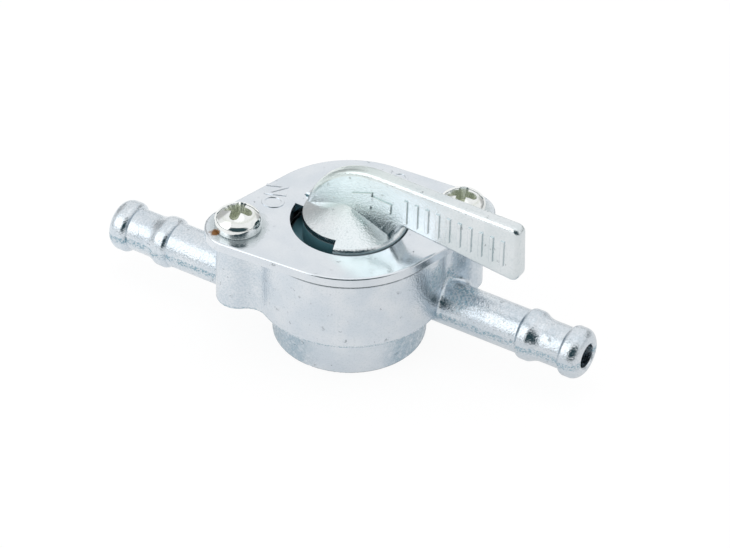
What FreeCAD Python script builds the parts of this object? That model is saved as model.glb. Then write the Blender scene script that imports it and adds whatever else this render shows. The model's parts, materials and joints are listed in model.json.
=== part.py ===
import FreeCAD, Part
import math
import os

from FreeCAD import Vector

# In-line fuel tap for a 6 mm hose, with a lever that turns a quarter turn between ON and OFF.
# Lengths are in millimetres and angles in degrees.
# The origin is on the rotor's axis, in the plane of the boss's flat bottom.
# The right-hand barb points along +X, the left-hand one along -X, and +Z points up out of the cover.

# Housing casting
CAVITY_RADIUS = 11.0
HOUSING_WALL = 3.2
HOUSING_BOTTOM_ROUND = 0.35
HOUSING_TOP_ROUND = 0.3
BOSS_STEP = 2.75
BOSS_HEIGHT = 7.0
BOSS_BOTTOM_ROUND = 0.3
CAVITY_MOUTH_CHAMFER = 0.3

# Hose barbs, cast with the housing and set off to opposite sides of the rotor's axis
BARB_OFFSET = 5.05
BARB_HEIGHT = 7.0
FUEL_BORE_RADIUS = 1.85
TUBE_RADIUS = 3.4
TUBE_LENGTH = 13.75
TUBE_ROOT_ROUND = 0.6
NECK_STEP = 0.15
BEAD_STEP = 0.5
BEAD_PITCH = 7.2
BEAD_LAND = 0.8
BEAD_BACK_ROUND = 0.9
BEAD_FRONT_ROUND = 1.4
BEAD_HOLLOW_ROUND = 3.0
NOSE_LIP = 0.4
BORE_MOUTH_CHAMFER = 0.2

# Ports from the barbs' bores up into the cavity, and the pegs that hold the rubber seal from turning
FLOOR_WALL = 1.25
PORT_X = 2.5
DRILL_POINT_ANGLE = 118.0
PEG_RADIUS = 1.2
PEG_HEIGHT = 1.6

# Screw columns, cover screws and their cross recess
SCREW_ANGLE = 38.9
SCREW_STAND_OFF = 2.25
COLUMN_RADIUS = 3.35
COLUMN_WEB_ROUND = 3.0
THREAD_RADIUS = 2.0
THREAD_CLEARANCE = 0.02
SCREW_LENGTH = 10.0
SCREW_HOLE_SPARE = 1.0
SCREW_TIP_CHAMFER = 0.4
HEAD_RADIUS = 3.5
HEAD_HEIGHT = 3.3
HEAD_DOME_RADIUS = 4.6
HEAD_CORNER_ROUND = 1.2
HEAD_FOOT_ROUND = 0.35
RECESS_SPAN = 5.0
RECESS_WIDTH = 1.5
RECESS_DEPTH = 2.1
RECESS_FOOT_SPAN = 2.6
RECESS_FOOT_WIDTH = 0.9
LEFT_RECESS_TURN = 12.0
RIGHT_RECESS_TURN = 18.0

# Cover plate
COVER_THICKNESS = 1.5
COVER_OVERHANG = 0.1
EAR_OVERHANG = 1.6
COVER_EDGE_ROUND = 0.35
COVER_SCREW_CLEARANCE = 0.2
HOLE_EDGE_ROUND = 0.15

# Rubber seal disc and O-ring
SEAL_THICKNESS = 2.8
SEAL_CLEARANCE = 0.1
SEAL_CHAMFER = 0.3
PEG_CLEARANCE = 0.1
O_RING_SECTION = 1.5
O_RING_SIDE_PLAY = 0.25
O_RING_CLEARANCE = 0.03

# Rotor
ROTOR_CLEARANCE = 0.06
ROTOR_FLANGE_HEIGHT = 4.0
ROTOR_SEAT_CLEARANCE = 0.03
ROTOR_SHOULDER = 2.4
NECK_CLEARANCE = 0.17
CHANNEL_DEPTH = 1.6

# Stop: a tab on the cover runs in a notch in the rotor's neck
LEVER_TRAVEL = 90.0
STOP_GAP = 0.05
FAR_STOP_PLAY = 5.0
STOP_ANGLE = 180.0
TAB_WIDTH = 2.4
NOTCH_DEPTH = 1.65
TAB_CLEARANCE = 0.15

# Conical hub and flat handle of the lever
RIM_RISE = 0.5
RIM_ROUND = 0.7
CONE_RISE = 3.5
HANDLE_RISE = 9.9
HANDLE_REACH = 29.0
HANDLE_TOP_THICKNESS = 2.3
HANDLE_DRAFT = 2.0
HANDLE_HEEL_RADIUS = 12.0
HANDLE_HEEL_INSET = 1.6
HANDLE_ROOT_INSET = 0.7
HANDLE_ROOT_STEP = 1.0
HANDLE_ROOT_GAP = 2.6
HANDLE_ROOT_ROUND = 1.0
HANDLE_TIP_GAP = 0.5
HANDLE_CORNER_ROUND = 1.2
HANDLE_EDGE_ROUND = 0.8
HANDLE_SINK = 1.5

# Wave washer under the cover
WASHER_SPACE = 1.57
WASHER_THICKNESS = 0.3
WASHER_WAVES = 3
POINTS_PER_WAVE = 12
WASHER_CLEARANCE = 0.05
WASHER_INNER_CLEARANCE = 0.2
WASHER_OUTER_CLEARANCE = 0.3

# Sizes that follow from those above
FLOOR_Z = BARB_HEIGHT + FUEL_BORE_RADIUS + FLOOR_WALL
SEAL_TOP_Z = FLOOR_Z + SEAL_THICKNESS
ROTOR_Z = SEAL_TOP_Z + ROTOR_SEAT_CLEARANCE
FLANGE_TOP_Z = ROTOR_Z + ROTOR_FLANGE_HEIGHT
SEAT_Z = FLANGE_TOP_Z + WASHER_SPACE
COVER_TOP_Z = SEAT_Z + COVER_THICKNESS
HOUSING_RADIUS = CAVITY_RADIUS + HOUSING_WALL
BOSS_RADIUS = HOUSING_RADIUS - BOSS_STEP
SCREW_CIRCLE_RADIUS = HOUSING_RADIUS + SCREW_STAND_OFF
NECK_RADIUS = CAVITY_RADIUS - ROTOR_SHOULDER
ROTOR_RADIUS = CAVITY_RADIUS - ROTOR_CLEARANCE
O_RING_CENTRE_RADIUS = CAVITY_RADIUS - O_RING_CLEARANCE - O_RING_SECTION / 2
GROOVE_RADIUS = O_RING_CENTRE_RADIUS - O_RING_SECTION / 2 - O_RING_CLEARANCE
O_RING_Z = ROTOR_Z + ROTOR_FLANGE_HEIGHT / 2
COVER_HOLE_RADIUS = NECK_RADIUS + NECK_CLEARANCE
NOTCH_RADIUS = NECK_RADIUS - NOTCH_DEPTH
TAB_RADIUS = NOTCH_RADIUS + TAB_CLEARANCE
TAB_HALF_ANGLE = math.degrees(math.asin(TAB_WIDTH / 2 / TAB_RADIUS))
RIM_Z = COVER_TOP_Z + RIM_RISE
APEX_Z = RIM_Z + CONE_RISE
HANDLE_TOP_Z = RIM_Z + HANDLE_RISE
PORT_ANGLE = math.degrees(math.atan2(BARB_OFFSET, PORT_X))
PORT_RADIUS = math.hypot(PORT_X, BARB_OFFSET)
BEAD_RADIUS = TUBE_RADIUS + BEAD_STEP
BARB_NECK_RADIUS = TUBE_RADIUS - NECK_STEP
FIRST_CREST_X = HOUSING_RADIUS + TUBE_LENGTH + BEAD_LAND / 2
SECOND_CREST_X = FIRST_CREST_X + BEAD_PITCH
NOSE_ROUND = BEAD_RADIUS - FUEL_BORE_RADIUS - NOSE_LIP
TIP_X = SECOND_CREST_X + BEAD_LAND / 2 + NOSE_ROUND

# Cutting shapes reach this far past the faces they cut, and coordinates closer than NEAR count as equal
SPARE = 1.0
NEAR = 1e-4

AXIS_Z = Vector(0, 0, 1)
ORIGIN = Vector(0, 0, 0)


def polar(radius, angle, z=0.0):
    turn = math.radians(angle)
    return Vector(radius * math.cos(turn), radius * math.sin(turn), z)


def turned(shape, angle):
    """A copy of the shape, turned about the rotor's axis."""
    copy = shape.copy()
    copy.rotate(ORIGIN, AXIS_Z, angle)
    return copy


def cylinder(radius, bottom, top, x=0.0, y=0.0):
    return Part.makeCylinder(radius, top - bottom, Vector(x, y, bottom))


def line(start, end):
    return Part.LineSegment(start, end).toShape()


def arc_xy(centre, radius, start, end):
    """A level arc from one angle to another."""
    points = [centre + polar(radius, angle) for angle in (start, (start + end) / 2, end)]
    return Part.Arc(*points).toShape()


def arc_xz(x, z, radius, start, end):
    """An arc in the upright plane of the X axis, about the point x, z."""
    points = []
    for angle in (start, (start + end) / 2, end):
        turn = math.radians(angle)
        points.append(Vector(x + radius * math.cos(turn), 0, z + radius * math.sin(turn)))
    return Part.Arc(*points).toShape()


def joined(edges):
    """One closed wire: the edges in order, with straight lines across any gaps between them."""
    wire_edges = []
    for edge, following in zip(edges, edges[1:] + edges[:1]):
        wire_edges.append(edge)
        start = edge.lastVertex(True).Point
        end = following.firstVertex(True).Point
        if start.distanceToPoint(end) > NEAR:
            wire_edges.append(line(start, end))
    return Part.Wire(wire_edges)


def revolved(wire, centre, axis):
    return Part.Face(wire).revolve(centre, axis, 360)


def level_edges(shape, z):
    """The edges that lie in the level plane at z."""
    return [edge for edge in shape.Edges
            if abs(edge.BoundBox.ZMin - z) < NEAR and abs(edge.BoundBox.ZMax - z) < NEAR]


def screw_centre(side):
    """Centre of the right (+1) or left (-1) screw, in plan."""
    return polar(SCREW_CIRCLE_RADIUS, SCREW_ANGLE) * side


def housing_block():
    """The round housing with its two screw columns, the corners between them rounded."""
    block = cylinder(HOUSING_RADIUS, BOSS_HEIGHT, SEAT_Z)
    for side in (1, -1):
        centre = screw_centre(side)
        block = block.fuse(cylinder(COLUMN_RADIUS, BOSS_HEIGHT, SEAT_Z, centre.x, centre.y))
    block = block.removeSplitter()

    # The corners stand where the columns' circles cross the housing's
    squares = HOUSING_RADIUS ** 2 + SCREW_CIRCLE_RADIUS ** 2 - COLUMN_RADIUS ** 2
    spread = math.degrees(math.acos(squares / (2 * HOUSING_RADIUS * SCREW_CIRCLE_RADIUS)))
    corners = []
    for angle in (SCREW_ANGLE - spread, SCREW_ANGLE + spread):
        for side in (1, -1):
            corner = polar(HOUSING_RADIUS, angle) * side
            corners += [edge for edge in block.Edges
                        if all(math.hypot(vertex.X - corner.x, vertex.Y - corner.y) < NEAR
                               for vertex in edge.Vertexes)]
    block = block.makeFillet(COLUMN_WEB_ROUND, corners)
    block = block.makeFillet(HOUSING_BOTTOM_ROUND, level_edges(block, BOSS_HEIGHT))
    return block.makeFillet(HOUSING_TOP_ROUND, level_edges(block, SEAT_Z))


def barb_profile():
    """Half section of the right-hand barb about its own axis, from the middle of the housing to the tip."""
    edges = [line(Vector(0, 0, 0), Vector(0, 0, TUBE_RADIUS))]

    # Back of the first bead: an arc that leaves the tube at a sharp corner
    crest_start = FIRST_CREST_X - BEAD_LAND / 2
    centre_radius = BEAD_RADIUS - BEAD_BACK_ROUND
    corner = math.degrees(math.asin((TUBE_RADIUS - centre_radius) / BEAD_BACK_ROUND))
    edges.append(arc_xz(crest_start, centre_radius, BEAD_BACK_ROUND, 180 - corner, 90))

    # Front of the first bead: a convex arc, then a hollow one that runs out into the neck
    crest_end = FIRST_CREST_X + BEAD_LAND / 2
    convex_radius = BEAD_RADIUS - BEAD_FRONT_ROUND
    rise = BARB_NECK_RADIUS + BEAD_HOLLOW_ROUND - convex_radius
    swing = math.degrees(math.asin(rise / (BEAD_FRONT_ROUND + BEAD_HOLLOW_ROUND)))
    run = (BEAD_FRONT_ROUND + BEAD_HOLLOW_ROUND) * math.cos(math.radians(swing))
    edges.append(arc_xz(crest_end, convex_radius, BEAD_FRONT_ROUND, 90, swing))
    hollow_z = BARB_NECK_RADIUS + BEAD_HOLLOW_ROUND
    edges.append(arc_xz(crest_end + run, hollow_z, BEAD_HOLLOW_ROUND, 180 + swing, 270))

    # Second bead and the round nose
    crest_start = SECOND_CREST_X - BEAD_LAND / 2
    corner = math.degrees(math.asin((BARB_NECK_RADIUS - centre_radius) / BEAD_BACK_ROUND))
    edges.append(arc_xz(crest_start, centre_radius, BEAD_BACK_ROUND, 180 - corner, 90))
    crest_end = SECOND_CREST_X + BEAD_LAND / 2
    edges.append(arc_xz(crest_end, BEAD_RADIUS - NOSE_ROUND, NOSE_ROUND, 90, 0))
    edges.append(line(Vector(TIP_X, 0, BEAD_RADIUS - NOSE_ROUND), Vector(TIP_X, 0, 0)))
    return joined(edges)


def barb():
    """The right-hand barb in its place."""
    solid = revolved(barb_profile(), ORIGIN, Vector(1, 0, 0))
    solid.translate(Vector(0, BARB_OFFSET, BARB_HEIGHT))
    return solid


def root_edges(body):
    """The edges where the tubes leave the housing's wall and the column beside it."""
    tubes = [face for face in body.Faces
             if isinstance(face.Surface, Part.Cylinder) and abs(face.Surface.Radius - TUBE_RADIUS) < NEAR]
    low = BOSS_HEIGHT + HOUSING_BOTTOM_ROUND / 2
    return [edge for tube in tubes for edge in tube.Edges
            if not isinstance(edge.Curve, Part.Line) and edge.BoundBox.ZMin > low
            and edge.BoundBox.XLength > NEAR]


def fuel_way():
    """The right-hand bore from the barb's tip, drilled to a point, and its port up into the cavity."""
    drilled_to = PORT_X - FUEL_BORE_RADIUS
    point = FUEL_BORE_RADIUS / math.tan(math.radians(DRILL_POINT_ANGLE / 2))
    mouth = Vector(TIP_X - BORE_MOUTH_CHAMFER, 0, FUEL_BORE_RADIUS)
    flared = mouth + Vector(1, 0, 1) * (BORE_MOUTH_CHAMFER + SPARE)
    edges = [line(Vector(drilled_to - point, 0, 0), Vector(drilled_to, 0, FUEL_BORE_RADIUS)),
             line(mouth, flared),
             line(flared, Vector(flared.x, 0, 0))]
    bore = revolved(joined(edges), ORIGIN, Vector(1, 0, 0))
    bore.translate(Vector(0, BARB_OFFSET, BARB_HEIGHT))
    port = cylinder(FUEL_BORE_RADIUS, BARB_HEIGHT, FLOOR_Z + SPARE, PORT_X, BARB_OFFSET)
    return bore.fuse(port)


def peg(radius, top, side):
    """A round peg on the cavity's floor, a quarter turn round from a port."""
    centre = polar(PORT_RADIUS, PORT_ANGLE - 90) * side
    return cylinder(radius, FLOOR_Z - FLOOR_WALL / 2, top, centre.x, centre.y)


def make_body():
    boss = cylinder(BOSS_RADIUS, 0, BOSS_HEIGHT + FLOOR_WALL)
    boss = boss.makeFillet(BOSS_BOTTOM_ROUND, level_edges(boss, 0))
    body = housing_block().fuse([boss, barb(), turned(barb(), 180)]).removeSplitter()
    body = body.makeFillet(TUBE_ROOT_ROUND, root_edges(body))

    cavity = cylinder(CAVITY_RADIUS, FLOOR_Z, SEAT_Z + SPARE)
    mouth = Part.makeCone(CAVITY_RADIUS, CAVITY_RADIUS + CAVITY_MOUTH_CHAMFER, CAVITY_MOUTH_CHAMFER,
                          Vector(0, 0, SEAT_Z - CAVITY_MOUTH_CHAMFER))
    body = body.cut([cavity, mouth, fuel_way(), turned(fuel_way(), 180)])

    hole_bottom = COVER_TOP_Z - SCREW_LENGTH - SCREW_HOLE_SPARE
    for side in (1, -1):
        centre = screw_centre(side)
        hole = cylinder(THREAD_RADIUS + THREAD_CLEARANCE, hole_bottom, SEAT_Z + SPARE, centre.x, centre.y)
        body = body.cut(hole)
        body = body.fuse(peg(PEG_RADIUS, FLOOR_Z + PEG_HEIGHT, side))
    return body.removeSplitter()


def cover_outline():
    """The cover's outline: a circle and two ears, joined by straight lines that touch both."""
    cover_radius = HOUSING_RADIUS + COVER_OVERHANG
    ear_radius = COLUMN_RADIUS + EAR_OVERHANG
    spread = math.degrees(math.acos((cover_radius - ear_radius) / SCREW_CIRCLE_RADIUS))
    edges = []
    for side, angle in ((1, SCREW_ANGLE), (-1, SCREW_ANGLE + 180)):
        edges.append(arc_xy(screw_centre(side), ear_radius, angle - spread, angle + spread))
        edges.append(arc_xy(ORIGIN, cover_radius, angle + spread, angle + 180 - spread))
    return joined(edges)


def make_cover_plate():
    plate = Part.Face(cover_outline()).extrude(Vector(0, 0, COVER_THICKNESS))
    plate = plate.makeFillet(COVER_EDGE_ROUND, level_edges(plate, COVER_THICKNESS))
    plate.translate(Vector(0, 0, SEAT_Z))

    plate = plate.cut(cylinder(COVER_HOLE_RADIUS, SEAT_Z - SPARE, COVER_TOP_Z + SPARE))
    rim = [edge for edge in level_edges(plate, COVER_TOP_Z)
           if abs(math.hypot(edge.Vertexes[0].X, edge.Vertexes[0].Y) - COVER_HOLE_RADIUS) < NEAR]
    plate = plate.makeFillet(HOLE_EDGE_ROUND, rim)

    tab_length = COVER_HOLE_RADIUS - TAB_RADIUS + 2 * HOLE_EDGE_ROUND
    tab = Part.makeBox(tab_length, TAB_WIDTH, COVER_THICKNESS, Vector(TAB_RADIUS, -TAB_WIDTH / 2, SEAT_Z))
    plate = plate.fuse(turned(tab, STOP_ANGLE))

    for side in (1, -1):
        centre = screw_centre(side)
        radius = THREAD_RADIUS + COVER_SCREW_CLEARANCE
        plate = plate.cut(cylinder(radius, SEAT_Z - SPARE, COVER_TOP_Z + SPARE, centre.x, centre.y))
    return plate.removeSplitter()


def cross_wire(span, width, z):
    """The outline of a cross: four arms of one width with round ends, span across."""
    edges = []
    for quarter in range(4):
        end = arc_xy(Vector((span - width) / 2, 0, z), width / 2, -90, 90)
        side = line(Vector((span - width) / 2, width / 2, z), Vector(width / 2, width / 2, z))
        edges += [turned(end, 90 * quarter), turned(side, 90 * quarter)]
    return joined(edges)


def make_screw(side, recess_turn):
    """A pan head screw: domed head with a cross recess, and a plain shank as wide as its thread."""
    dome_z = HEAD_HEIGHT - HEAD_DOME_RADIUS
    corner_x = HEAD_RADIUS - HEAD_CORNER_ROUND
    tilt = math.degrees(math.acos(corner_x / (HEAD_DOME_RADIUS - HEAD_CORNER_ROUND)))
    corner_z = dome_z + (HEAD_DOME_RADIUS - HEAD_CORNER_ROUND) * math.sin(math.radians(tilt))
    tip_radius = THREAD_RADIUS - SCREW_TIP_CHAMFER
    edges = [line(Vector(0, 0, -SCREW_LENGTH), Vector(tip_radius, 0, -SCREW_LENGTH)),
             line(Vector(THREAD_RADIUS, 0, SCREW_TIP_CHAMFER - SCREW_LENGTH), Vector(THREAD_RADIUS, 0, 0)),
             arc_xz(HEAD_RADIUS - HEAD_FOOT_ROUND, HEAD_FOOT_ROUND, HEAD_FOOT_ROUND, -90, 0),
             arc_xz(corner_x, corner_z, HEAD_CORNER_ROUND, 0, tilt),
             arc_xz(0, dome_z, HEAD_DOME_RADIUS, tilt, 90)]
    screw = revolved(joined(edges), ORIGIN, AXIS_Z)
    recess_top = cross_wire(RECESS_SPAN, RECESS_WIDTH, HEAD_HEIGHT)
    recess_foot = cross_wire(RECESS_FOOT_SPAN, RECESS_FOOT_WIDTH, HEAD_HEIGHT - RECESS_DEPTH)
    screw = screw.cut(Part.makeLoft([recess_top, recess_foot], True, True))
    screw.rotate(ORIGIN, AXIS_Z, recess_turn)
    screw.translate(screw_centre(side) + Vector(0, 0, COVER_TOP_Z))
    return screw


def make_valve_seal():
    """Rubber disc on the cavity's floor, with the two ports and the two peg holes."""
    seal = cylinder(CAVITY_RADIUS - SEAL_CLEARANCE, FLOOR_Z, SEAL_TOP_Z)
    seal = seal.makeChamfer(SEAL_CHAMFER, level_edges(seal, FLOOR_Z) + level_edges(seal, SEAL_TOP_Z))
    for side in (1, -1):
        x, y = side * PORT_X, side * BARB_OFFSET
        port = cylinder(FUEL_BORE_RADIUS, FLOOR_Z - SPARE, SEAL_TOP_Z + SPARE, x, y)
        peg_hole = peg(PEG_RADIUS + PEG_CLEARANCE, FLOOR_Z + PEG_HEIGHT + PEG_CLEARANCE, side)
        seal = seal.cut([port, peg_hole])
    return seal


def rotor():
    """The turned part of the lever: flange with the O-ring's groove, neck and conical hub."""
    groove_low = O_RING_Z - O_RING_SECTION / 2 - O_RING_SIDE_PLAY
    groove_high = O_RING_Z + O_RING_SECTION / 2 + O_RING_SIDE_PLAY
    edges = [line(Vector(0, 0, ROTOR_Z), Vector(ROTOR_RADIUS, 0, ROTOR_Z)),
             line(Vector(ROTOR_RADIUS, 0, groove_low), Vector(GROOVE_RADIUS, 0, groove_low)),
             line(Vector(GROOVE_RADIUS, 0, groove_high), Vector(ROTOR_RADIUS, 0, groove_high)),
             line(Vector(ROTOR_RADIUS, 0, FLANGE_TOP_Z), Vector(NECK_RADIUS, 0, FLANGE_TOP_Z)),
             line(Vector(NECK_RADIUS, 0, RIM_Z), Vector(0, 0, APEX_Z))]
    solid = revolved(joined(edges), ORIGIN, AXIS_Z)
    return solid.makeFillet(RIM_ROUND, level_edges(solid, RIM_Z))


def notch():
    """The part ring cut out of the rotor's neck, in which the cover's tab runs. It starts beside the tab."""
    outer = ROTOR_RADIUS + SPARE
    beside = TAB_WIDTH / 2 + STOP_GAP
    inner_start = STOP_ANGLE - math.degrees(math.asin(beside / NOTCH_RADIUS))
    outer_start = STOP_ANGLE - math.degrees(math.asin(beside / outer))
    end = STOP_ANGLE + TAB_HALF_ANGLE + LEVER_TRAVEL + FAR_STOP_PLAY
    centre = Vector(0, 0, FLANGE_TOP_Z)
    edges = [arc_xy(centre, NOTCH_RADIUS, inner_start, end), arc_xy(centre, outer, end, outer_start)]
    return Part.Face(joined(edges)).extrude(Vector(0, 0, HANDLE_TOP_Z - FLANGE_TOP_Z))


def channel():
    """The slot in the rotor's lower face that joins the two ports when the tap is on."""
    radius = FUEL_BORE_RADIUS
    right = Vector(PORT_RADIUS, 0, ROTOR_Z - SPARE)
    left = Vector(-PORT_RADIUS, 0, ROTOR_Z - SPARE)
    edges = [arc_xy(right, radius, -90, 90), arc_xy(left, radius, 90, 270)]
    slot = Part.Face(joined(edges)).extrude(Vector(0, 0, CHANNEL_DEPTH + SPARE))
    return turned(slot, PORT_ANGLE)


def handle_profile():
    """Side view of the handle: long heel curve, level top, square end, lower edge falling outwards."""
    sunk_z = RIM_Z - HANDLE_SINK
    heel_z = HANDLE_TOP_Z - HANDLE_HEEL_RADIUS
    heel_run = math.sqrt(HANDLE_HEEL_RADIUS ** 2 - (RIM_Z - heel_z) ** 2)
    heel_x = HANDLE_HEEL_INSET - NECK_RADIUS + heel_run
    heel_start = 180 - math.degrees(math.asin((sunk_z - heel_z) / HANDLE_HEEL_RADIUS))

    # The root slants in from the lower edge and on down into the hub, with a round in the corner
    root = Vector(NECK_RADIUS - HANDLE_ROOT_INSET, 0, RIM_Z)
    corner = Vector(NECK_RADIUS + HANDLE_ROOT_STEP, 0, RIM_Z + HANDLE_ROOT_GAP)
    tip = Vector(HANDLE_REACH, 0, RIM_Z + HANDLE_TIP_GAP)
    sunk = root + (root - corner) * (HANDLE_SINK / HANDLE_ROOT_GAP)
    outwards = (tip - corner).normalize()
    inwards = (root - corner).normalize()
    half_angle = outwards.getAngle(inwards) / 2
    middle = (outwards + inwards).normalize()
    centre = corner + middle * (HANDLE_ROOT_ROUND / math.sin(half_angle))
    reach = HANDLE_ROOT_ROUND / math.tan(half_angle)
    root_round = Part.Arc(corner + outwards * reach, centre - middle * HANDLE_ROOT_ROUND,
                          corner + inwards * reach).toShape()
    edges = [arc_xz(heel_x, heel_z, HANDLE_HEEL_RADIUS, heel_start, 90),
             line(Vector(HANDLE_REACH, 0, HANDLE_TOP_Z), tip),
             root_round,
             line(corner + inwards * reach, sunk)]
    return joined(edges)


def handle():
    """The flat handle: its side view, thinned towards the top by the mould's draft, with rounded edges."""
    top = HANDLE_TOP_THICKNESS / 2
    bottom_z = RIM_Z - HANDLE_SINK
    bottom = top + (HANDLE_TOP_Z - bottom_z) * math.tan(math.radians(HANDLE_DRAFT))
    width = 2 * (bottom + SPARE)
    blade = Part.Face(handle_profile()).extrude(Vector(0, width, 0))
    blade.translate(Vector(0, -width / 2, 0))
    ends = [edge for edge in blade.Edges
            if edge.BoundBox.YLength > width - NEAR and edge.BoundBox.XMin > HANDLE_REACH - NEAR]
    blade = blade.makeFillet(HANDLE_CORNER_ROUND, ends)

    corners = [Vector(0, -bottom, bottom_z), Vector(0, bottom, bottom_z),
               Vector(0, top, HANDLE_TOP_Z), Vector(0, -top, HANDLE_TOP_Z)]
    section = Part.makePolygon(corners + corners[:1])
    slab = Part.Face(section).extrude(Vector(2 * HANDLE_REACH, 0, 0))
    slab.translate(Vector(-HANDLE_REACH, 0, 0))
    blade = blade.common(slab)
    edges = [edge for edge in blade.Edges
             if edge.BoundBox.YLength < top and edge.BoundBox.ZMax > bottom_z + NEAR]
    return blade.makeFillet(HANDLE_EDGE_ROUND, edges)


def make_lever():
    lever = rotor().fuse(handle())
    return lever.cut([notch(), channel()]).removeSplitter()


def make_rotor_seal():
    """O-ring in the rotor's groove."""
    return Part.makeTorus(O_RING_CENTRE_RADIUS, O_RING_SECTION / 2, Vector(0, 0, O_RING_Z), AXIS_Z)


def wave_curve(radius, low, high):
    """A closed curve round the rotor's axis that rises and falls once for each wave."""
    points = []
    for step in range(WASHER_WAVES * POINTS_PER_WAVE):
        angle = 360 * step / (WASHER_WAVES * POINTS_PER_WAVE)
        height = (low + high) / 2 + (high - low) / 2 * math.cos(math.radians(WASHER_WAVES * angle))
        points.append(polar(radius, angle, height))
    curve = Part.BSplineCurve()
    curve.interpolate(Points=points, PeriodicFlag=True)
    return curve.toShape()


def make_wave_washer():
    """Wave spring washer between the rotor's flange and the cover."""
    low = FLANGE_TOP_Z + WASHER_CLEARANCE
    high = SEAT_Z - WASHER_CLEARANCE - WASHER_THICKNESS
    inner = wave_curve(COVER_HOLE_RADIUS + WASHER_INNER_CLEARANCE, low, high)
    outer = wave_curve(CAVITY_RADIUS - WASHER_OUTER_CLEARANCE, low, high)
    return Part.makeRuledSurface(inner, outer).extrude(Vector(0, 0, WASHER_THICKNESS))


def main():
    os.makedirs("parts", exist_ok=True)
    screws = [make_screw(-1, LEFT_RECESS_TURN), make_screw(1, RIGHT_RECESS_TURN)]
    parts = {
        "body": make_body(),
        "cover_plate": make_cover_plate(),
        "cover_screws": Part.makeCompound(screws),
        "valve_seal": make_valve_seal(),
        "wave_washer": make_wave_washer(),
        "lever": make_lever(),
        "rotor_seal": make_rotor_seal(),
    }
    for name, shape in parts.items():
        for solid in shape.Solids:
            box = solid.BoundBox
            print(name, "valid", solid.isValid(), "volume", round(solid.Volume, 2),
                  "x", round(box.XMin, 2), round(box.XMax, 2), "y", round(box.YMin, 2), round(box.YMax, 2),
                  "z", round(box.ZMin, 2), round(box.ZMax, 2))
        whole = shape if len(shape.Solids) > 1 else shape.Solids[0]
        whole.exportStep(os.path.join("parts", name + ".step"))


main()
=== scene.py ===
# %% [markdown]
# # A fuel tap in cast zinc
# This lesson dresses a small in-line fuel tap: a round die-cast housing with two beaded hose barbs,
# a cover held by two screws, and a flat lever on a conical hub. The solids come from the CAD model,
# which fixes every size. Here each surface gets its finish, the raised marks of the castings are
# added, and a small studio is built round the tap.

# %% Load the frame
import json
import math

import bmesh
import bpy
from mathutils import Matrix, Vector

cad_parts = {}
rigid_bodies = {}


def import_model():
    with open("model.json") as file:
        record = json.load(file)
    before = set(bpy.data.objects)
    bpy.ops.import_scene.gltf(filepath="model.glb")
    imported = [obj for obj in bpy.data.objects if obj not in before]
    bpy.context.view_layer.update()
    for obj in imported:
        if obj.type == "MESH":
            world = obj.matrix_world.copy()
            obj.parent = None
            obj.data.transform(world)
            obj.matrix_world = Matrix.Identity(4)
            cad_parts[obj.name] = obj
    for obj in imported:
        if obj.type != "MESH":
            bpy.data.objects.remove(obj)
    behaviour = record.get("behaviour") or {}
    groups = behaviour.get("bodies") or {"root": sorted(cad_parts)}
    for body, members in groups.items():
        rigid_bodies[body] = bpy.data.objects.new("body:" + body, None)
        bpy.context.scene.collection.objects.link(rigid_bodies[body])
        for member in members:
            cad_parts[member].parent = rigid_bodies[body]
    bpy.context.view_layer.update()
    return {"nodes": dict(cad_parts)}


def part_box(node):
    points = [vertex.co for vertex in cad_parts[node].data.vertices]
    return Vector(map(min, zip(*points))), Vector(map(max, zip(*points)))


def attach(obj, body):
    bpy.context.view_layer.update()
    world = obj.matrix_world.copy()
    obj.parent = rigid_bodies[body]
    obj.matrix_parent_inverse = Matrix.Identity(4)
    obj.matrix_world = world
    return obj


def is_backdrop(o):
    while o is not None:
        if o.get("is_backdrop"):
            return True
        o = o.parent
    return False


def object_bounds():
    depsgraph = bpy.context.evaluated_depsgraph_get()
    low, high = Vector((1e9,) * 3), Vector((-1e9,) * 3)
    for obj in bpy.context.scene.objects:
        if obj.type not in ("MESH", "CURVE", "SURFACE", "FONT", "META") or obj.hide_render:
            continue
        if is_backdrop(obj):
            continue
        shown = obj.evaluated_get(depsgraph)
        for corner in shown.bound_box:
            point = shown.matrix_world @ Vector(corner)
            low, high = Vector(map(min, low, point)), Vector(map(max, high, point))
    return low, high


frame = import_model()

MM = 0.001
nodes = frame["nodes"]
print("CAD nodes:", sorted(nodes))

# %% [markdown]
# ## Sums on shader sockets
# Node maths soon turns into long chains of boxes. A small class that wraps a socket and overloads
# the arithmetic operators lets a pattern be written as one expression, and each operator adds the
# Math node that it stands for. Every other node comes from one method, which sets the node's
# settings first and its sockets after, because some sockets only exist once a setting is made.

# %% A socket that can be added, multiplied and compared
class Wire:
    """One shader socket, used in expressions as if it were a number."""

    def __init__(self, finish, socket):
        self.finish = finish
        self.socket = socket

    def math(self, operation, *others):
        inputs = dict(enumerate((self, *others)))
        return self.finish.node("ShaderNodeMath", {"operation": operation}, inputs)

    def __add__(self, other):
        return self.math("ADD", other)

    __radd__ = __add__

    def __sub__(self, other):
        return self.math("SUBTRACT", other)

    def __rsub__(self, other):
        return self.finish.node("ShaderNodeMath", {"operation": "SUBTRACT"}, {0: other, 1: self})

    def __mul__(self, other):
        return self.math("MULTIPLY", other)

    __rmul__ = __mul__

    def __truediv__(self, other):
        return self.math("DIVIDE", other)

    def __pow__(self, other):
        return self.math("POWER", other)

    def sqrt(self):
        return self.math("SQRT")

    def highest(self, other):
        return self.math("MAXIMUM", other)

    def step(self, start, end):
        """0 before start and 1 past end, with a smooth slope between; end may be the lower one."""
        settings = {"interpolation_type": "SMOOTHSTEP", "clamp": True}
        if start < end:
            return self.finish.node("ShaderNodeMapRange", settings,
                                    {"Value": self, "From Min": start, "From Max": end})
        return 1 - self.finish.node("ShaderNodeMapRange", settings,
                                    {"Value": self, "From Min": end, "From Max": start})


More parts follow.
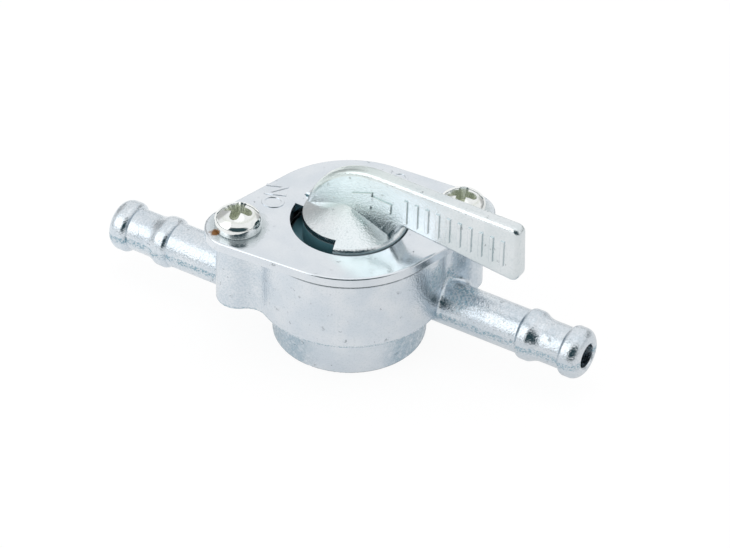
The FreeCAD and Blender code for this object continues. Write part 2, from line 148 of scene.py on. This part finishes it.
class Finish:
    """A material, and the one method that adds nodes to it."""

    def __init__(self, name, tree=None):
        if tree is None:
            self.material = bpy.data.materials.new(name)
            self.material.use_nodes = True
            tree = self.material.node_tree
        self.tree = tree
        tree.nodes.clear()

    def node(self, kind, settings=None, inputs=None, output=0):
        made = self.tree.nodes.new(kind)
        for key, value in (settings or {}).items():
            setattr(made, key, value)
        for key, value in (inputs or {}).items():
            if isinstance(value, Wire):
                self.tree.links.new(value.socket, made.inputs[key])
            else:
                made.inputs[key].default_value = value
        return Wire(self, made.outputs[output]) if made.outputs else None

    def place(self):
        """The point being shaded, in the piece's own metres, and its three coordinates."""
        point = self.node("ShaderNodeTexCoord", output="Object")
        split = [self.node("ShaderNodeSeparateXYZ", {}, {0: point}, axis) for axis in range(3)]
        return point, *split

    def noise(self, point, scale, detail=2.0, roughness=0.5):
        inputs = {"Vector": point, "Scale": scale, "Detail": detail, "Roughness": roughness}
        return self.node("ShaderNodeTexNoise", {}, inputs, "Fac")

    def blend(self, mask, first, second):
        """Colour first where mask is 0 and second where it is 1."""
        return self.node("ShaderNodeMix", {"data_type": "RGBA"},
                         {"Factor": mask, 6: first, 7: second}, 2)

    def bump(self, height, distance, normal=None):
        inputs = {"Height": height, "Distance": distance}
        if normal is not None:
            inputs["Normal"] = normal
        return self.node("ShaderNodeBump", {}, inputs)

    def surface(self, **inputs):
        """The Principled shader, wired to the output. Underscores in the names stand for spaces."""
        named = {key.replace("_", " "): value for key, value in inputs.items()}
        shader = self.node("ShaderNodeBsdfPrincipled", {}, named)
        self.node("ShaderNodeOutputMaterial", {}, {"Surface": shader})


def rgb(red, green, blue):
    return (red, green, blue, 1.0)


def grey(level):
    return rgb(level, level, level)

# %% [markdown]
# ## Cast zinc
# The body, cover and lever are zinc die castings with a thin bright plating. The metal mirrors the
# studio, but a casting is never as smooth as glass: the skin has a fine grain a few tenths of a
# millimetre wide, slow waves where the mould was worn, and a few pits. The grain breaks each
# reflection into crisp specks, so most of it is bump, with a little blue-green film between the
# crystals. The recipe is one function, and each casting calls it with its own tint and grain.

# %% One recipe for the three castings
FILM = rgb(0.20, 0.34, 0.38)
PIT = rgb(0.10, 0.13, 0.14)


def cast_zinc(name, pale, dull, grain, wave, roughness, film):
    """Plated zinc: pale and dull are its two colours, grain and wave the heights of its bumps in
    mm, and film is how much of the blue-green film shows between the crystals."""
    finish = Finish(name)
    point, x, y, z = finish.place()
    clouds = finish.noise(point, 240, 3)
    crystals = finish.noise(point, 2900, 3, 0.65)
    specks = finish.noise(point, 3400, 2, 0.7)
    pit_places = finish.noise(point, 900, 1).step(0.68, 0.74)
    pits = pit_places * finish.noise(point, 4000, 1).step(0.45, 0.6)
    tint = finish.blend(clouds.step(0.3, 0.7), pale, dull)
    tint = finish.blend(specks.step(0.52, 0.64) * film, tint, FILM)
    tint = finish.blend(pits * 0.4, tint, PIT)
    shine = roughness + 0.05 * crystals.step(0.4, 0.7) + 0.04 * clouds + 0.3 * pits
    waves = finish.bump(finish.noise(point, 420, 1), wave * MM)
    bumps = finish.bump(crystals - pits * 0.3, grain * MM, waves)
    return finish, point, x, y, z, tint, shine, bumps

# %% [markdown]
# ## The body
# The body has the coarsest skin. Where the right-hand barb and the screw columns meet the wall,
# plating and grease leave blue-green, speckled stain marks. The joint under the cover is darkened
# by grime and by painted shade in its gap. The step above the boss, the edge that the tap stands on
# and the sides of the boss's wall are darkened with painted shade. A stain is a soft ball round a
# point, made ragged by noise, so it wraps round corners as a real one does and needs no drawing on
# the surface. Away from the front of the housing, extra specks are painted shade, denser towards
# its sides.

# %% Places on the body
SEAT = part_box("cover_plate")[0][2]
BOSS_TOP = 7.0 * MM
BOSS_RADIUS = 11.45 * MM
UNSHADED_TURN = math.radians(32)  # the way that the side free of painted shade faces, 0 being the front
# Centre and radius of each stain, in mm
STAINS = [
    ((14.0, 1.4, 13.9), 3.2),
    ((17.0, 4.4, 9.6), 3.0),
    ((-14.2, -3.4, 12.0), 2.6),
    ((12.6, 6.4, 11.0), 2.6),
]
print("stains on the body:", len(STAINS), "cover's seat in mm:", round(SEAT / MM, 2))

# %% A stain
def stain(finish, point, centre, radius, ragged):
    """1 at the centre of a soft stain, falling to 0 at its radius, with a ragged edge."""
    offset = finish.node("ShaderNodeVectorMath", {"operation": "SUBTRACT"},
                         {0: point, 1: Vector(centre) * MM})
    length = finish.node("ShaderNodeVectorMath", {"operation": "LENGTH"}, {0: offset}, "Value")
    return (length / (radius * MM) + (ragged - 0.5) * 1.2).step(1.0, 0.45)

# %% Body finish
# Blue-green of the real stains, also used for painted shade on the boss and the housing's sides.
STAIN_AND_SHADE_TINT = rgb(0.20, 0.37, 0.46)
# Painted shade on the sides of the boss.
BOSS_SHADE_TINT = rgb(0.30, 0.44, 0.54)
# Dark grime with painted shade under the cover, and painted shadow at the tap's foot.
DIRT_AND_SHADE = rgb(0.10, 0.13, 0.15)

finish, point, x, y, z, tint, shine, bumps = cast_zinc(
    "body_zinc", rgb(0.76, 0.80, 0.84), rgb(0.67, 0.73, 0.79),
    grain=0.07, wave=0.03, roughness=0.035, film=0.10)
ragged = finish.noise(point, 1100, 4, 0.75)
speckle = finish.noise(point, 3300, 2, 0.65).step(0.47, 0.55)
from_axis = (x * x + y * y).sqrt()
# Painted shade: this mask is 1 where the housing faces the front and falls towards its sides, where
# extra specks stand for shade.
front_facing = (x * math.sin(UNSHADED_TURN) - y * math.cos(UNSHADED_TURN)) / from_axis
side_shade_specks = front_facing.step(0.85, 0.30)

# Painted shade: a ragged dark line on the step above the boss, under the housing's overhang.
boss_step_shade = z.step(BOSS_TOP - 1.0 * MM, BOSS_TOP - 0.2 * MM)
boss_step_shade = boss_step_shade * z.step(BOSS_TOP + 0.6 * MM, BOSS_TOP + 0.2 * MM) * ragged.step(0.36, 0.50)
# Painted shade: the boss's wall is darker and bluer on its sides, away from the front.
boss_side_shade = from_axis.step(BOSS_RADIUS + 0.95 * MM, BOSS_RADIUS + 0.45 * MM)
boss_side_shade = boss_side_shade * z.step(BOSS_TOP - 0.1 * MM, BOSS_TOP - 0.7 * MM)
boss_side_shade = boss_side_shade * front_facing.step(0.95, 0.75) * ragged.step(0.25, 0.60)
# This mask holds the real stains together with the painted shade of the boss's step and sides.
stains_and_shade = boss_step_shade.highest(boss_side_shade * 0.5)
for centre, radius in STAINS:
    stains_and_shade = stains_and_shade.highest(stain(finish, point, centre, radius, ragged))
# The joint under the cover is darkened: grime, and painted shade in the gap.
joint_dirt_and_shade = z.step(SEAT - 0.42 * MM, SEAT - 0.22 * MM) * ragged.step(0.30, 0.50)
# Painted shadow: a thin dark line where the tap stands on the paper.
foot_shadow = z.step(0.35 * MM, 0.12 * MM) * ragged.step(0.30, 0.50)

tint = finish.blend(stains_and_shade * (0.12 + 0.60 * speckle) + side_shade_specks * 0.15 * speckle, tint, STAIN_AND_SHADE_TINT)
tint = finish.blend(boss_side_shade * 0.5, tint, BOSS_SHADE_TINT)
tint = finish.blend(joint_dirt_and_shade.highest(foot_shadow) * 0.7, tint, DIRT_AND_SHADE)
finish.surface(Base_Color=tint, Metallic=1 - 0.5 * stains_and_shade,
               Roughness=shine + 0.15 * joint_dirt_and_shade + 0.22 * stains_and_shade, Normal=bumps)
body_zinc = finish.material
print(body_zinc.name, "nodes:", len(finish.tree.nodes))

# %% [markdown]
# ## The cover
# The cover is smoother than the body, so the heads of the screws show in it. Round each head a
# dull, darker ring is painted shade at the head's foot, and it follows the distance from the nearer
# screw. The screws are half a turn apart, so the sign of x tells which one is nearer, and one sum
# serves both. One spot of rust has run out from under the left-hand screw.

# %% Distance from the nearer screw
HEAD_RADIUS = 3.5 * MM
screw_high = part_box("cover_screws")[1]
SCREW_X, SCREW_Y = screw_high[0] - HEAD_RADIUS, screw_high[1] - HEAD_RADIUS
HEAD_TOP = screw_high[2]
print("screws at +-", round(SCREW_X / MM, 2), round(SCREW_Y / MM, 2),
      "top", round(HEAD_TOP / MM, 2))


def from_screw(x, y):
    """The distance, seen from above, from the axis of the nearer screw."""
    side = x.math("SIGN")
    return ((x - side * SCREW_X) ** 2 + (y - side * SCREW_Y) ** 2).sqrt()

# %% Cover finish
# Painted shade: a dull, darker ring round the foot of each screw head.
SCREW_SHADE_TINT = rgb(0.42, 0.50, 0.50)
RUST_TINT = rgb(0.24, 0.10, 0.02)
RUST_SPOT, RUST_RADIUS = (-14.85, -13.4, 19.9), 1.05

finish, point, x, y, z, tint, shine, bumps = cast_zinc(
    "cover_zinc", rgb(0.78, 0.82, 0.86), rgb(0.72, 0.77, 0.82),
    grain=0.008, wave=0.012, roughness=0.14, film=0.05)
ragged = finish.noise(point, 1400, 3)
# Painted shade: the ring round the nearer screw head.
screw_foot_shade = from_screw(x, y) + (ragged - 0.5) * 1.6 * MM
screw_foot_shade = screw_foot_shade.step(HEAD_RADIUS + 1.4 * MM, HEAD_RADIUS + 0.4 * MM)
rust = stain(finish, point, RUST_SPOT, RUST_RADIUS, ragged)
tint = finish.blend(screw_foot_shade * 0.4, tint, SCREW_SHADE_TINT)
tint = finish.blend(rust, tint, RUST_TINT)
finish.surface(Base_Color=tint, Metallic=1 - rust - screw_foot_shade * (1 - rust) * 0.25,
               Roughness=shine + 0.3 * rust + 0.14 * screw_foot_shade, Normal=bumps)
cover_zinc = finish.material
print(cover_zinc.name, "nodes:", len(finish.tree.nodes))

# %% [markdown]
# ## The lever
# The lever's plating is greener towards its heel. Its neck, inside the cover, is a dark teal sheet
# of painted shade, and the foot of the raised marks on its face is darker. The marks are the same
# casting, so one function makes both finishes, and they differ only in where the darkening lies.

# %% Lever finishes
HANDLE_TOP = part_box("lever")[1][2] / MM
HANDLE_HALF = 1.15  # half the handle's thickness at its top
DRAFT = math.radians(2.0)  # the slope of each face, which lets the casting out of its mould
NECK_RADIUS = 8.6 * MM
CONE_RIM = 20.5 * MM
HEEL_TINT = rgb(0.66, 0.76, 0.72)
# Dark teal: painted shade on the neck, and the darker foot of the raised marks.
DARK_TEAL = rgb(0.09, 0.22, 0.26)


def lever_finish(name, marks):
    """The lever's zinc, darker at the foot of its raised marks or, without marks, with painted
    shade on its neck.
    """
    finish, point, x, y, z, tint, shine, bumps = cast_zinc(
        name, rgb(0.80, 0.84, 0.86), rgb(0.72, 0.78, 0.80),
        grain=0.05, wave=0.02, roughness=0.08, film=0.12)
    # The green is full above the hub and gone halfway out along the handle
    heel = x.step(15 * MM, 1 * MM) * z.step(21.5 * MM, 24.5 * MM)
    tint = finish.blend(heel * 0.55, tint, HEEL_TINT)
    if marks:
        # The foot of each raised mark is darker.
        height = 0 - y - ((HANDLE_TOP * MM - z) * math.tan(DRAFT) + HANDLE_HALF * MM)
        darkened = height.step(0.24 * MM, 0.17 * MM) * 0.3
        metal = 1 - 0.5 * darkened
    else:
        # Painted shade: the neck, down in the cover's notch, gets a dark teal sheet for the notch's
        # shade.
        from_axis = (x * x + y * y).sqrt()
        darkened = from_axis.step(NECK_RADIUS + 0.05 * MM, NECK_RADIUS - 0.05 * MM)
        darkened = darkened * z.step(CONE_RIM - 0.15 * MM, CONE_RIM - 0.4 * MM)
        metal = 1 - 0.8 * darkened
    tint = finish.blend(darkened, tint, DARK_TEAL)
    finish.surface(Base_Color=tint, Metallic=metal, Roughness=shine + 0.2 * darkened, Normal=bumps)
    print(name, "nodes:", len(finish.tree.nodes))
    return finish.material


lever_zinc = lever_finish("lever_zinc", marks=False)
lever_marks = lever_finish("lever_marks", marks=True)

# %% [markdown]
# ## Screws, spring and rubber
# The screws are bright plated steel, almost a mirror, with a greenish film left in the recess. The
# spring washer and the rubber parts are inside the tap, but they have their finishes too, for
# anyone who takes it apart.

# %% Screw plating
RECESS_REACH = 2.6 * MM

finish = Finish("screw_plating")
point, x, y, z = finish.place()
scratches = finish.noise(point, 1500, 4, 0.65)
in_recess = from_screw(x, y).step(RECESS_REACH + 0.15 * MM, RECESS_REACH - 0.15 * MM)
in_recess = in_recess * z.step(HEAD_TOP - 0.45 * MM, HEAD_TOP - 0.9 * MM)
tint = finish.blend(scratches.step(0.45, 0.75) * 0.4,
                    rgb(0.88, 0.90, 0.89), rgb(0.66, 0.70, 0.70))
tint = finish.blend(in_recess * 0.9, tint, rgb(0.60, 0.64, 0.52))
finish.surface(Base_Color=tint, Metallic=1 - 0.35 * in_recess,
               Roughness=0.05 + 0.07 * scratches + 0.2 * in_recess,
               Normal=finish.bump(scratches, 0.006 * MM))
screw_plating = finish.material
print(screw_plating.name, "nodes:", len(finish.tree.nodes))

# %% Spring steel and rubber
finish = Finish("spring_steel")
point, x, y, z = finish.place()
brushed = finish.noise(point, 3000, 3)
finish.surface(Base_Color=finish.blend(brushed, rgb(0.42, 0.42, 0.43), rgb(0.56, 0.56, 0.57)),
               Metallic=1.0, Roughness=0.28 + 0.14 * brushed,
               Normal=finish.bump(brushed, 0.004 * MM))
spring_steel = finish.material

finish = Finish("seal_rubber")
point, x, y, z = finish.place()
skin = finish.noise(point, 2600, 3)
finish.surface(Base_Color=finish.blend(skin, rgb(0.018, 0.018, 0.019), rgb(0.035, 0.035, 0.036)),
               Roughness=0.55 + 0.25 * skin, Normal=finish.bump(skin, 0.012 * MM))
seal_rubber = finish.material
print("hidden parts:", spring_steel.name, "and", seal_rubber.name)

# %% [markdown]
# ## Finishes onto the CAD pieces
# Each CAD node comes with its mesh in place and at its real size, so all it needs is its material.
# The patterns above read Object coordinates, which are the tap's own metres here, so a stain placed
# by its coordinates falls on the right spot of every piece.

# %% Give each CAD node its finish
finishes = {
    "body": body_zinc,
    "cover_plate": cover_zinc,
    "lever": lever_zinc,
    "cover_screws": screw_plating,
    "wave_washer": spring_steel,
    "valve_seal": seal_rubber,
    "rotor_seal": seal_rubber,
}
for name, material in finishes.items():
    mesh = nodes[name].data
    mesh.materials.clear()
    mesh.materials.append(material)
print("finishes:", {name: material.name for name, material in finishes.items()})

# %% [markdown]
# ## Raised marks on the lever
# The lever's face carries a raised arrow that points at the mark on the cover, and a row of low
# ribs for the thumb. They are far too low for a boolean or a sculpted surface to be worth it: each
# is a flat outline, extruded a quarter of a millimetre and bevelled, sunk a little into the face so
# that no gap shows, and set on the face's slight draft angle by one matrix.

# %% A raised mark
SINK = 0.08


def raised(bm, corners, height, bevel):
    """Adds a flat outline of corners to bm, raised by height, with its top edges bevelled."""
    outline = bm.faces.new([bm.verts.new((x, y, -SINK)) for x, y in corners])
    grown = bmesh.ops.extrude_face_region(bm, geom=[outline])["geom"]
    top = [v for v in grown if isinstance(v, bmesh.types.BMVert)]
    bmesh.ops.translate(bm, verts=top, vec=(0, 0, height + SINK))
    rim = [e for e in bm.edges if all(v in top for v in e.verts)]
    bmesh.ops.bevel(bm, geom=rim, offset=bevel, offset_type="OFFSET", segments=2, profile=0.5,
                    affect="EDGES", material=-1)

# %% The lever's face as a place to put things
def on_lever_face(x, z, turn=0.0):
    """A matrix from millimetres across, up and out of the lever's front face to the tap's frame."""
    y = -(HANDLE_HALF + (HANDLE_TOP - z) * math.tan(DRAFT))
    across, up = Vector((1, 0, 0)), Vector((0, math.sin(DRAFT), math.cos(DRAFT)))
    axes = Matrix((across, up, across.cross(up))).transposed().to_4x4()
    return (Matrix.Scale(MM, 4) @ Matrix.Translation((x, y, z)) @ axes
            @ Matrix.Rotation(math.radians(turn), 4, "Z"))

# %% From a bmesh to a piece
def new_piece(name, bm, material, body):
    """Makes a bmesh into a piece that rides on a CAD body and takes its finish from a slot."""
    bmesh.ops.recalc_face_normals(bm, faces=bm.faces)
    mesh = bpy.data.meshes.new(name)
    bm.to_mesh(mesh)
    bm.free()
    mesh.materials.append(material)
    piece = bpy.data.objects.new(name, mesh)
    bpy.context.scene.collection.objects.link(piece)
    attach(piece, body)
    print(name, "faces:", len(mesh.polygons))

# %% Arrow
HEAD_LENGTH, HEAD_HALF = 3.4, 1.5
ARROW_LENGTH, SHAFT_HALF = 6.7, 0.87
ARROW_HEIGHT, MARK_BEVEL = 0.28, 0.07
ARROW_X, ARROW_Z, ARROW_TURN = 1.1, 26.15, -3.4

bm = bmesh.new()
arrow = [(0, 0), (HEAD_LENGTH, -HEAD_HALF), (HEAD_LENGTH, -SHAFT_HALF), (ARROW_LENGTH, -SHAFT_HALF),
         (ARROW_LENGTH, SHAFT_HALF), (HEAD_LENGTH, SHAFT_HALF), (HEAD_LENGTH, HEAD_HALF)]
raised(bm, arrow, ARROW_HEIGHT, MARK_BEVEL)
bmesh.ops.transform(bm, matrix=on_lever_face(ARROW_X, ARROW_Z, ARROW_TURN), verts=bm.verts)
new_piece("lever_arrow", bm, lever_marks, "lever")

# %% Grip ribs
RIBS = 10
FIRST_RIB_X, RIBS_Z = 10.2, 26
RIB_HALF, RIB_PITCH, RIB_HEIGHT = 0.3, 1.8, 0.26
RIB_LOW, RIB_HIGH = -1.8, 2.2  # the first rib's ends; the others follow the handle's two edges
LOW_FALL, HIGH_FALL = 0.045, 0.03

bm = bmesh.new()
for index in range(RIBS):
    across = index * RIB_PITCH
    low, high = RIB_LOW - across * LOW_FALL, RIB_HIGH - across * HIGH_FALL
    before = set(bm.verts)
    rib = [(-RIB_HALF, low), (RIB_HALF, low), (RIB_HALF, high), (-RIB_HALF, high)]
    raised(bm, rib, RIB_HEIGHT, MARK_BEVEL)
    bmesh.ops.transform(bm, matrix=on_lever_face(FIRST_RIB_X + across, RIBS_Z),
                        verts=[v for v in bm.verts if v not in before])
new_piece("lever_ribs", bm, lever_marks, "lever")

# %% [markdown]
# ## ON and OFF on the cover
# The cover has the two positions cast on it in low relief. Blender's own font gives plain letters;
# each word is made a mesh first and then set in its place, so that its object stays at the origin.

# %% Position words
COVER_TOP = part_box("cover_plate")[1][2]
LETTER_WIDTH = 0.78
LETTER_SPACING = 0.92
LETTER_HEIGHT = 0.07
LETTER_BEVEL = 0.04


def cover_word(name, text, centre, reading, size):
    """A raised word on the cover: centre and size in mm, reading the way it runs, in degrees."""
    curve = bpy.data.curves.new(name, "FONT")
    curve.body = text
    curve.size = size
    curve.space_character = LETTER_SPACING
    curve.extrude = LETTER_HEIGHT
    curve.bevel_depth = LETTER_BEVEL
    curve.bevel_resolution = 1
    curve.align_x = "CENTER"
    curve.align_y = "CENTER"
    word = bpy.data.objects.new(name, curve)
    bpy.context.scene.collection.objects.link(word)
    bpy.context.view_layer.update()
    bm = bmesh.new()
    bm.from_mesh(bpy.data.meshes.new_from_object(word))
    bpy.data.objects.remove(word)
    bmesh.ops.remove_doubles(bm, verts=bm.verts, dist=1e-4)
    place = (Matrix.Translation((centre[0] * MM, centre[1] * MM, COVER_TOP))
             @ Matrix.Scale(MM, 4) @ Matrix.Rotation(math.radians(reading), 4, "Z")
             @ Matrix.Diagonal((LETTER_WIDTH, 1, 1, 1)))
    bmesh.ops.transform(bm, verts=bm.verts, matrix=place)
    new_piece(name, bm, cover_zinc, "housing")


cover_word("cover_on", "ON", (-12.0, -1.35), 112, 4.8)
cover_word("cover_off", "OFF", (-0.4, 11.75), 195, 4.4)

# %% [markdown]
# ## Studio
# Metal shows what stands round it, so the studio is designed by looking back along the
# reflections. The tap stands on white paper under a box lamp, with a second, tall box to its front
# left. Behind the camera the room is dark: that darkness draws the grainy patches on the fronts of
# the beads, the wedge on each screw head and the shade beside the hub. A picture of a real studio
# would do the same, but nobody could say which part of it draws which shade. So the room is painted
# in the world as a few soft-edged patches, each given by its azimuth and elevation, and only
# reflections see it.

# %% Directions round the tap
def direction_of(azimuth, elevation):
    """The direction from the tap towards a place in the studio, from its angles in degrees."""
    turn, tilt = math.radians(azimuth), math.radians(elevation)
    return Vector((math.sin(turn) * math.cos(tilt), -math.cos(turn) * math.cos(tilt),
                   math.sin(tilt)))

# %% The sky as a place for patches
world = bpy.data.worlds.new("studio")
world.use_nodes = True
bpy.context.scene.world = world
sky = Finish("studio", world.node_tree)
direction = sky.node("ShaderNodeTexCoord", output="Generated")
sky_x, sky_y, sky_z = [sky.node("ShaderNodeSeparateXYZ", {}, {0: direction}, axis)
                       for axis in range(3)]
sky_azimuth = sky_x.math("ARCTAN2", 0 - sky_y)
sky_elevation = sky_z.math("ARCSINE")


def patch(azimuth, elevation, half_width, half_height, soft):
    """1 inside an oval of the sky and 0 outside it, soft being the share of its size that its edge
    takes up. Angles are in degrees, and azimuth 0 is in front of the tap."""
    across = (sky_azimuth - math.radians(azimuth)) / math.radians(half_width)
    upward = (sky_elevation - math.radians(elevation)) / math.radians(half_height)
    return (across * across + upward * upward).step((1 + soft) ** 2, (1 - soft) ** 2)


def round_patch(azimuth, elevation, radius):
    """The same for a round patch, which may lie near the zenith, where azimuths crowd together."""
    towards = direction_of(azimuth, elevation)
    along = sky_x * towards.x + sky_y * towards.y + sky_z * towards.z
    return along.step(math.cos(math.radians(radius * 1.1)), math.cos(math.radians(radius * 0.9)))

# %% The room that reflections see
PATCHES = {
    "dark room behind the camera": (patch(32, 26, 48, 28, 0.2), rgb(0.032, 0.062, 0.072)),
    "grey wall on the left": (patch(-111, 24, 24, 18, 0.3), grey(0.50)),
    "grey wall behind on the right": (patch(154, 9, 22, 13, 0.3), grey(0.50)),
    "tall box": (patch(-38, 31, 26, 31, 0.15), grey(1.6)),
    "overhead box": (round_patch(200, 84, 19), grey(1.14)),
}
room = grey(0.95)
for mask, colour in PATCHES.values():
    room = sky.blend(mask, room, colour)
# A dark strip lies just above the edge of the paper
horizon = sky_elevation.step(math.radians(-1.5), math.radians(0.0))
horizon = horizon * sky_elevation.step(math.radians(5.5), math.radians(4.0))
room = sky.blend(horizon * 0.92, room, rgb(0.04, 0.08, 0.09))
print("patches in the room:", ", ".join(PATCHES))

# %% [markdown]
# ## Who sees the room
# Light Path tells which kind of ray asks for a colour. The camera, and what is seen through glass,
# get plain white, mirrors get the painted room, and everything else is lit by an even grey sky, so
# the patches shape the reflections without changing the light on the tap.

# %% The world's colour
def seen_by(finish, ray):
    """1 where the ray is of the named kind, and 0 where it isn't."""
    return finish.node("ShaderNodeLightPath", output=ray)


plain = seen_by(sky, "Is Camera Ray").highest(seen_by(sky, "Is Transmission Ray"))
mirrored = seen_by(sky, "Is Glossy Ray")
colour = sky.blend(plain, sky.blend(mirrored, grey(0.80), room), grey(1.0))
backdrop = sky.node("ShaderNodeBackground", {}, {"Color": colour, "Strength": 1.0})
sky.node("ShaderNodeOutputWorld", {}, {"Surface": backdrop})
print("world nodes:", len(world.node_tree.nodes))

# %% [markdown]
# ## Paper and lamps
# The paper is a real diffuse floor with some glow mixed in, so that it is white to the camera and
# still takes the tap's soft shadow. In reflections it is a little brighter on the left, where the
# tall box stands: there a Mix Shader goes from one plain glow to another. The lamps light the tap
# but are hidden from reflections, which see their boxes painted in the room instead, so the light
# on the tap and the boxes' brightness in the metal are set one by one.

# %% Floor
PAPER_DROP = 0.02 * MM  # the paper lies this far below the boss, so that the two never flicker

floor_mesh = bpy.data.meshes.new("floor")
bm = bmesh.new()
bmesh.ops.create_grid(bm, x_segments=1, y_segments=1, size=3.0)
bmesh.ops.translate(bm, verts=bm.verts, vec=(0, 0, -PAPER_DROP))
bm.to_mesh(floor_mesh)
bm.free()
floor = bpy.data.objects.new("floor", floor_mesh)
bpy.context.scene.collection.objects.link(floor)
floor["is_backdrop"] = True

# %% White paper
paper = Finish("white_paper")
point, x, y, z = paper.place()
seen = seen_by(paper, "Is Camera Ray")
mirrored = seen_by(paper, "Is Glossy Ray")


def plain_glow(level):
    return paper.node("ShaderNodeEmission", {}, {"Color": rgb(1, 1, 1), "Strength": level})


def mix(factor, first, second):
    return paper.node("ShaderNodeMixShader", {}, {0: factor, 1: first, 2: second})


sheet = paper.node("ShaderNodeBsdfDiffuse", {}, {"Color": grey(0.86)})
mirrored_glow = mix(x.step(60 * MM, -60 * MM), plain_glow(0.84), plain_glow(1.16))
glowing = mix(mirrored, plain_glow(1.04), mirrored_glow)
mixed = mix(seen * 0.88 + mirrored * 0.60, sheet, glowing)
paper.node("ShaderNodeOutputMaterial", {}, {"Surface": mixed})
floor_mesh.materials.append(paper.material)
print("floor:", floor.name, "with", paper.material.name)

# %% Lamps
def box_lamp(name, azimuth, elevation, distance, width, height, glow):
    """A soft box that faces the tap, in degrees and metres, as bright as glow times white paper."""
    data = bpy.data.lights.new(name, "AREA")
    data.shape = "RECTANGLE"
    data.size = width
    data.size_y = height
    data.energy = glow * math.pi * width * height
    towards = direction_of(azimuth, elevation)
    lamp = bpy.data.objects.new(name, data)
    bpy.context.scene.collection.objects.link(lamp)
    lamp.location = distance * towards
    lamp.rotation_mode = "QUATERNION"
    lamp.rotation_quaternion = (-towards).to_track_quat("-Z", "Y")
    lamp.visible_glossy = False
    print(name, "watts:", round(data.energy, 2))


box_lamp("overhead_box", 200, 84, distance=0.9, width=0.5, height=0.5, glow=1.2)
box_lamp("tall_box", -33, 28, distance=0.9, width=0.36, height=0.78, glow=1.1)

# %% [markdown]
# ## Camera
# The camera looks at the tap from the front right and from above, through a long lens, so that the
# barbs hardly taper towards their far ends. The small shift puts the tap where it is in the
# photograph's frame of 730 by 548 pixels.

# %% Camera
AZIMUTH, ELEVATION, ROLL = 31.74, 38.75, 0.45
DISTANCE = 0.7256
TARGET = Vector((0, 0, 8 * MM))

back = direction_of(AZIMUTH, ELEVATION)
camera_data = bpy.data.cameras.new("camera")
camera_data.sensor_width = 36.0
camera_data.lens = 242.5
camera_data.shift_x = 0.0210
camera_data.shift_y = 0.0116
camera_data.clip_start = 0.01
camera_data.clip_end = 20.0
camera = bpy.data.objects.new("camera", camera_data)
bpy.context.scene.collection.objects.link(camera)
camera.location = TARGET + back * DISTANCE
camera.rotation_mode = "QUATERNION"
facing = (-back).to_track_quat("-Z", "Y")
camera.rotation_quaternion = facing @ Matrix.Rotation(math.radians(ROLL), 3, "Z").to_quaternion()
bpy.context.scene.camera = camera
bpy.context.scene.view_settings.view_transform = "Standard"
print("camera at", [round(v, 3) for v in camera.location])

# %% [markdown]
# ## The size
# Dressing the tap must not change how big it is. The box of everything seen now is printed, in
# millimetres.

# %% The size of everything seen
low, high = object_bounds()
print("visual box in mm:", [round(v / MM, 2) for v in (*low, *high)])
